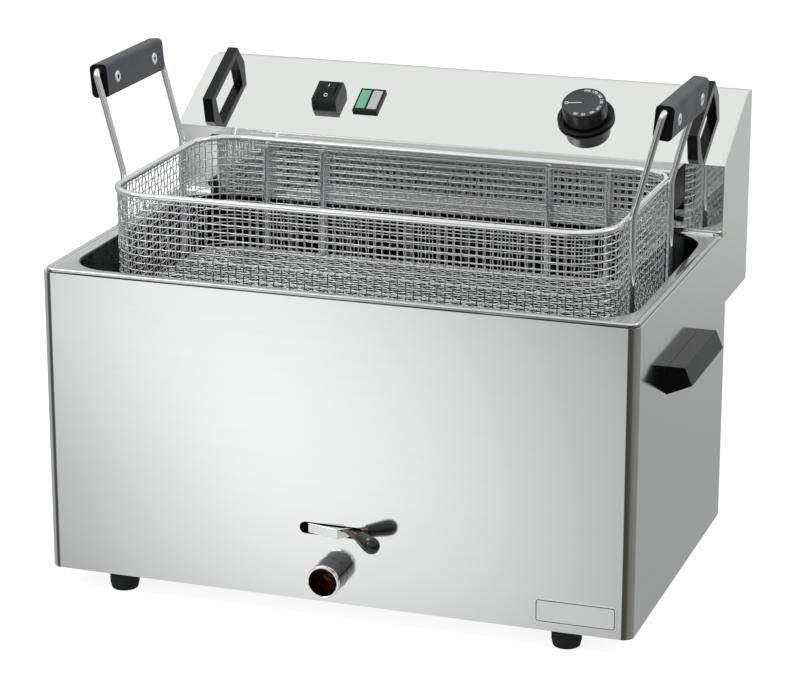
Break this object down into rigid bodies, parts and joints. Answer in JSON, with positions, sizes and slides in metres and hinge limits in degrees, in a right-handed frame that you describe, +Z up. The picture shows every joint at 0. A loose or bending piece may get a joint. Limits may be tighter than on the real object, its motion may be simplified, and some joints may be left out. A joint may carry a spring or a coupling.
{
  "type": "countertop donut fryer",
  "caption": "Stainless countertop fryer with a drawn tank, front ball-valve drain, lift-out control head with heating hairpins, and a wire basket on two leaning grips.",
  "frame": {"origin": "under the middle of the whole fryer, on the surface that it stands on", "axes": "+X to the fryer's right as its front is faced, +Y to its back, +Z up"},
  "size_m": [0.595, 0.4584, 0.4677],
  "materials": {
    "brushed_sheet": "satin brushed stainless sheet",
    "tank_sheet": "drawn stainless, softly polished",
    "polished_sheet": "mirror polished stainless sheet",
    "bright_wire": "bright electropolished wire",
    "fastener_steel": "plain steel",
    "black_plastic": "fine satin black",
    "black_gloss": "gloss black",
    "grip_charcoal": "satin charcoal",
    "foot_rubber": "dull grey rubber",
    "plate_metal": "plain satin plate with nothing on it",
    "valve_brass": "plain machined",
    "lever_bronze": "dark bronze",
    "seat_white": "plain white",
    "lens_green_plastic": "tinted translucent",
    "lens_clear_plastic": "frosted translucent",
    "heater_tube": "dark heat tinted tube",
    "reset_red": "plain red"
  },
  "bodies": {
    "casing": {"casing_wrap": "brushed_sheet", "rear_panel": "brushed_sheet", "rear_screws": "fastener_steel", "base_plate": "brushed_sheet", "feet": "foot_rubber", "foot_bolts": "fastener_steel", "tank": "tank_sheet", "side_handle_left": "black_plastic", "side_handle_right": "black_plastic", "side_handle_screws": "fastener_steel", "blank_plate": "plate_metal", "drain_spud": "fastener_steel", "drain_elbow": "fastener_steel", "valve_body": "valve_brass", "valve_seats": "seat_white", "stem_gland": "valve_brass", "drain_outlet": "polished_sheet", "head_brackets": "brushed_sheet", "locating_pins": "fastener_steel"},
    "drain_valve": {"lever_hub": "polished_sheet", "drain_lever": "lever_bronze", "lever_grip": "black_gloss", "valve_stem": "fastener_steel", "valve_ball": "fastener_steel", "lever_nut": "fastener_steel"},
    "control_head": {"control_panel": "polished_sheet", "head_front_plate": "polished_sheet", "head_tray": "brushed_sheet", "head_back_cover": "brushed_sheet", "head_side_left": "brushed_sheet", "head_side_right": "brushed_sheet", "back_cover_screws": "fastener_steel", "panel_handle_left": "black_plastic", "panel_handle_right": "black_plastic", "panel_handle_screws": "fastener_steel", "switch_housing": "black_plastic", "indicator_frame": "black_plastic", "lens_green": "lens_green_plastic", "lens_clear": "lens_clear_plastic", "thermostat_body": "seat_white", "thermostat_bulb": "valve_brass", "safety_thermostat": "seat_white", "contactor": "black_plastic", "heating_elements": "heater_tube", "element_plate": "fastener_steel", "element_clamps": "fastener_steel", "hanger_shelf": "polished_sheet", "cable_gland": "black_plastic"},
    "switch_rocker": {"rocker": "black_plastic"},
    "knob": {"thermostat_knob": "black_plastic"},
    "reset": {"reset_button": "reset_red"},
    "basket": {"basket_rim": "bright_wire", "basket_long_nets": "bright_wire", "basket_end_nets": "bright_wire", "basket_floor_net": "bright_wire", "basket_corner_nets": "bright_wire", "basket_base_wires": "bright_wire", "basket_handle_rods": "bright_wire", "basket_grips": "grip_charcoal", "grip_rivets": "fastener_steel"}
  },
  "joints": [
    {"name": "drain_lever_turn", "type": "hinge", "parent": "casing", "child": "drain_valve", "pos_m": [0, -0.17577, 0.0885], "axis": [0, 0, 1], "range_deg": [-90, 0]},
    {"name": "head_lift", "type": "slide", "parent": "casing", "child": "control_head", "axis": [0, 0, 1], "range_m": [0, 0.25]},
    {"name": "rocker_press", "type": "hinge", "parent": "control_head", "child": "switch_rocker", "pos_m": [-0.132, 0.1581, 0.40043], "axis": [1, 0, 0], "range_deg": [-14, 0]},
    {"name": "knob_turn", "type": "hinge", "parent": "control_head", "child": "knob", "pos_m": [0.128, 0.16223, 0.393], "axis": [0, -0.4856, 0.8742], "range_deg": [-270, 0]},
    {"name": "reset_press", "type": "slide", "parent": "control_head", "child": "reset", "axis": [0, 0, 1], "range_m": [0, 0.003], "stiffness_N_per_m": 150},
    {"name": "basket_lift", "type": "slide", "parent": "control_head", "child": "basket", "axis": [0, 0, 1], "range_m": [-0.1, 0.2]}
  ]
}
